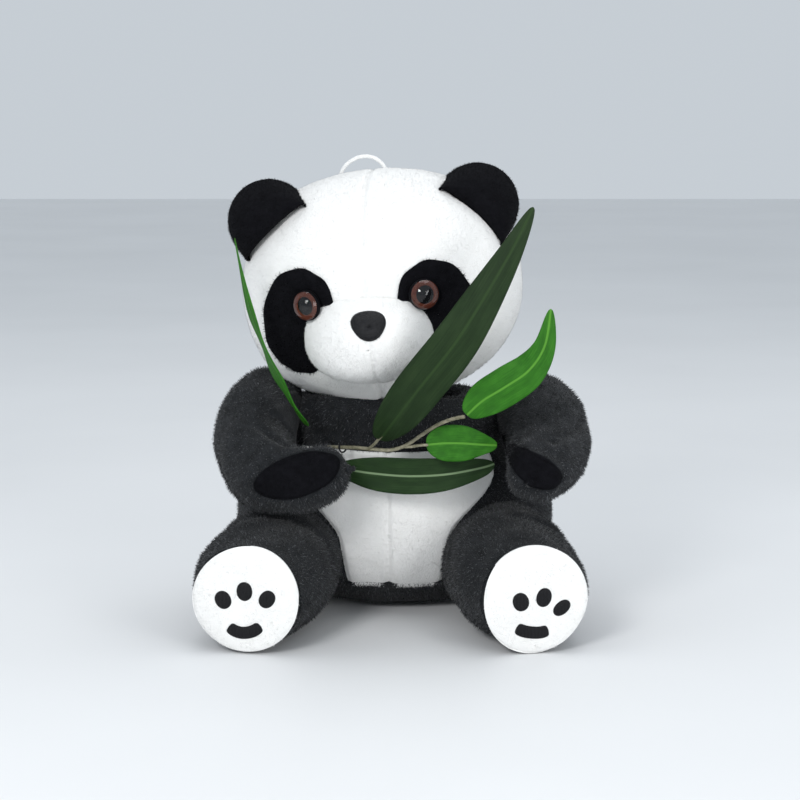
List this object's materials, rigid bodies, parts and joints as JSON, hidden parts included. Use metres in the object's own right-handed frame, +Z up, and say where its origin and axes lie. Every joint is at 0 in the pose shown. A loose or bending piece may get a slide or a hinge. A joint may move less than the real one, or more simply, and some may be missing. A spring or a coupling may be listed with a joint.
{
  "type": "plush panda",
  "caption": "Seated black and white plush panda with sewn limbs, plastic eyes and a spray of artificial bamboo leaves held between its paws.",
  "frame": {"origin": "middle of the box round the toy, on the surface it sits on", "axes": "+Z up, the toy faces -Y, +X to the right of somebody looking at its face"},
  "size_m": [0.2152, 0.2034, 0.2571],
  "materials": {
    "filling": "loose polyester fibre",
    "white_plush": "short white plush pile",
    "black_plush": "black plush pile with grey tips",
    "jet_plush": "short jet black plush",
    "embroidery": "satin stitch embroidery",
    "eye_black": "gloss",
    "eye_brown": "painted brown under clear plastic",
    "eye_clear": "clear gloss plastic",
    "washer": "matte",
    "leaf_dark": "printed cloth leaf, satin",
    "leaf_bright": "printed cloth leaf, satin",
    "stem": "wrapped wire",
    "loop": "white elastic cord",
    "thread": "sewing thread"
  },
  "bodies": {
    "torso": {"torso_stuffing": "filling", "torso_back_left": "black_plush", "torso_back_right": "black_plush", "chest_panel": "black_plush", "belly_left": "white_plush", "belly_right": "white_plush", "base_panel": "black_plush", "tail": "white_plush", "bamboo_stem": "stem", "leaf_d": "leaf_dark", "stem_stitches": "thread"},
    "neck": {"neck_stuffing": "filling", "neck_stitching": "thread"},
    "head": {"head_stuffing": "filling", "head_front_left": "white_plush", "head_front_right": "white_plush", "head_back_left": "white_plush", "head_back_right": "white_plush", "muzzle_padding": "filling", "muzzle_cover": "white_plush", "nose": "jet_plush", "hanging_loop": "loop", "eye_patch_left": "jet_plush", "eye_patch_right": "jet_plush", "eye_base_left": "eye_black", "eye_base_right": "eye_black", "eye_iris_left": "eye_brown", "eye_iris_right": "eye_brown", "eye_dome_left": "eye_clear", "eye_dome_right": "eye_clear", "eye_washer_left": "washer", "eye_washer_right": "washer"},
    "ear_left": {"ear_front_left": "jet_plush", "ear_batting_left": "filling", "ear_back_left": "jet_plush"},
    "arm_left": {"arm_cover_left": "black_plush", "arm_stuffing_left": "filling", "palm_pad_left": "jet_plush"},
    "leg_left": {"leg_cover_left": "black_plush", "leg_stuffing_left": "filling", "sole_left": "white_plush", "paw_print_left": "embroidery"},
    "ear_right": {"ear_front_right": "jet_plush", "ear_batting_right": "filling", "ear_back_right": "jet_plush"},
    "arm_right": {"arm_cover_right": "black_plush", "arm_stuffing_right": "filling", "palm_pad_right": "jet_plush"},
    "leg_right": {"leg_cover_right": "black_plush", "leg_stuffing_right": "filling", "sole_right": "white_plush", "paw_print_right": "embroidery"},
    "leaf_a": {"leaf_a": "leaf_dark"},
    "leaf_b": {"leaf_b": "leaf_bright"},
    "leaf_c": {"leaf_c": "leaf_bright"},
    "leaf_e": {"leaf_e": "leaf_bright"}
  },
  "joints": [
    {"name": "neck_nod", "type": "hinge", "parent": "torso", "child": "neck", "pos_m": [-0.005, 0.002, 0.17], "axis": [1, 0, 0], "range_deg": [-6, 6], "stiffness_Nm_per_rad": 3},
    {"name": "head_turn", "type": "hinge", "parent": "neck", "child": "head", "pos_m": [-0.005, 0.002, 0.17], "axis": [0, 0, 1], "range_deg": [-14, 14], "stiffness_Nm_per_rad": 1.5},
    {"name": "ear_left_fold", "type": "hinge", "parent": "head", "child": "ear_left", "pos_m": [-0.07351, 0.004, 0.22568], "axis": [0.7193, 0, 0.6947], "range_deg": [-15, 25], "stiffness_Nm_per_rad": 0.1},
    {"name": "ear_right_fold", "type": "hinge", "parent": "head", "child": "ear_right", "pos_m": [0.05186, 0.004, 0.23706], "axis": [0.7431, 0, -0.6691], "range_deg": [-15, 25], "stiffness_Nm_per_rad": 0.1},
    {"name": "arm_left_open", "type": "hinge", "parent": "torso", "child": "arm_left", "pos_m": [-0.072, 0.004, 0.116], "axis": [0, 0, -1], "range_deg": [0, 22], "stiffness_Nm_per_rad": 0.5},
    {"name": "arm_right_open", "type": "hinge", "parent": "torso", "child": "arm_right", "pos_m": [0.078, 0.004, 0.114], "axis": [0, 0, 1], "range_deg": [0, 22], "stiffness_Nm_per_rad": 0.5},
    {"name": "leg_left_spread", "type": "hinge", "parent": "torso", "child": "leg_left", "pos_m": [-0.06, -0.014, 0.034], "axis": [0, 0, -1], "range_deg": [-4, 12], "stiffness_Nm_per_rad": 1.5},
    {"name": "leg_right_spread", "type": "hinge", "parent": "torso", "child": "leg_right", "pos_m": [0.057, -0.014, 0.034], "axis": [0, 0, 1], "range_deg": [-4, 12], "stiffness_Nm_per_rad": 1.5},
    {"name": "leaf_a_bend", "type": "hinge", "parent": "torso", "child": "leaf_a", "pos_m": [-0.008, -0.06, 0.108], "axis": [1, 0, 0], "range_deg": [0, 12], "stiffness_Nm_per_rad": 0.2},
    {"name": "leaf_b_bend", "type": "hinge", "parent": "torso", "child": "leaf_b", "pos_m": [0.038, -0.076, 0.124], "axis": [1, 0, 0], "range_deg": [-5, 12], "stiffness_Nm_per_rad": 0.1},
    {"name": "leaf_c_bend", "type": "hinge", "parent": "torso", "child": "leaf_c", "pos_m": [0.017, -0.063, 0.106], "axis": [0, 0, -1], "range_deg": [-2, 12], "stiffness_Nm_per_rad": 0.1},
    {"name": "leaf_e_bend", "type": "hinge", "parent": "torso", "child": "leaf_e", "pos_m": [-0.047, -0.045, 0.113], "axis": [1, 0, 0], "range_deg": [-3, 10], "stiffness_Nm_per_rad": 0.1}
  ]
}
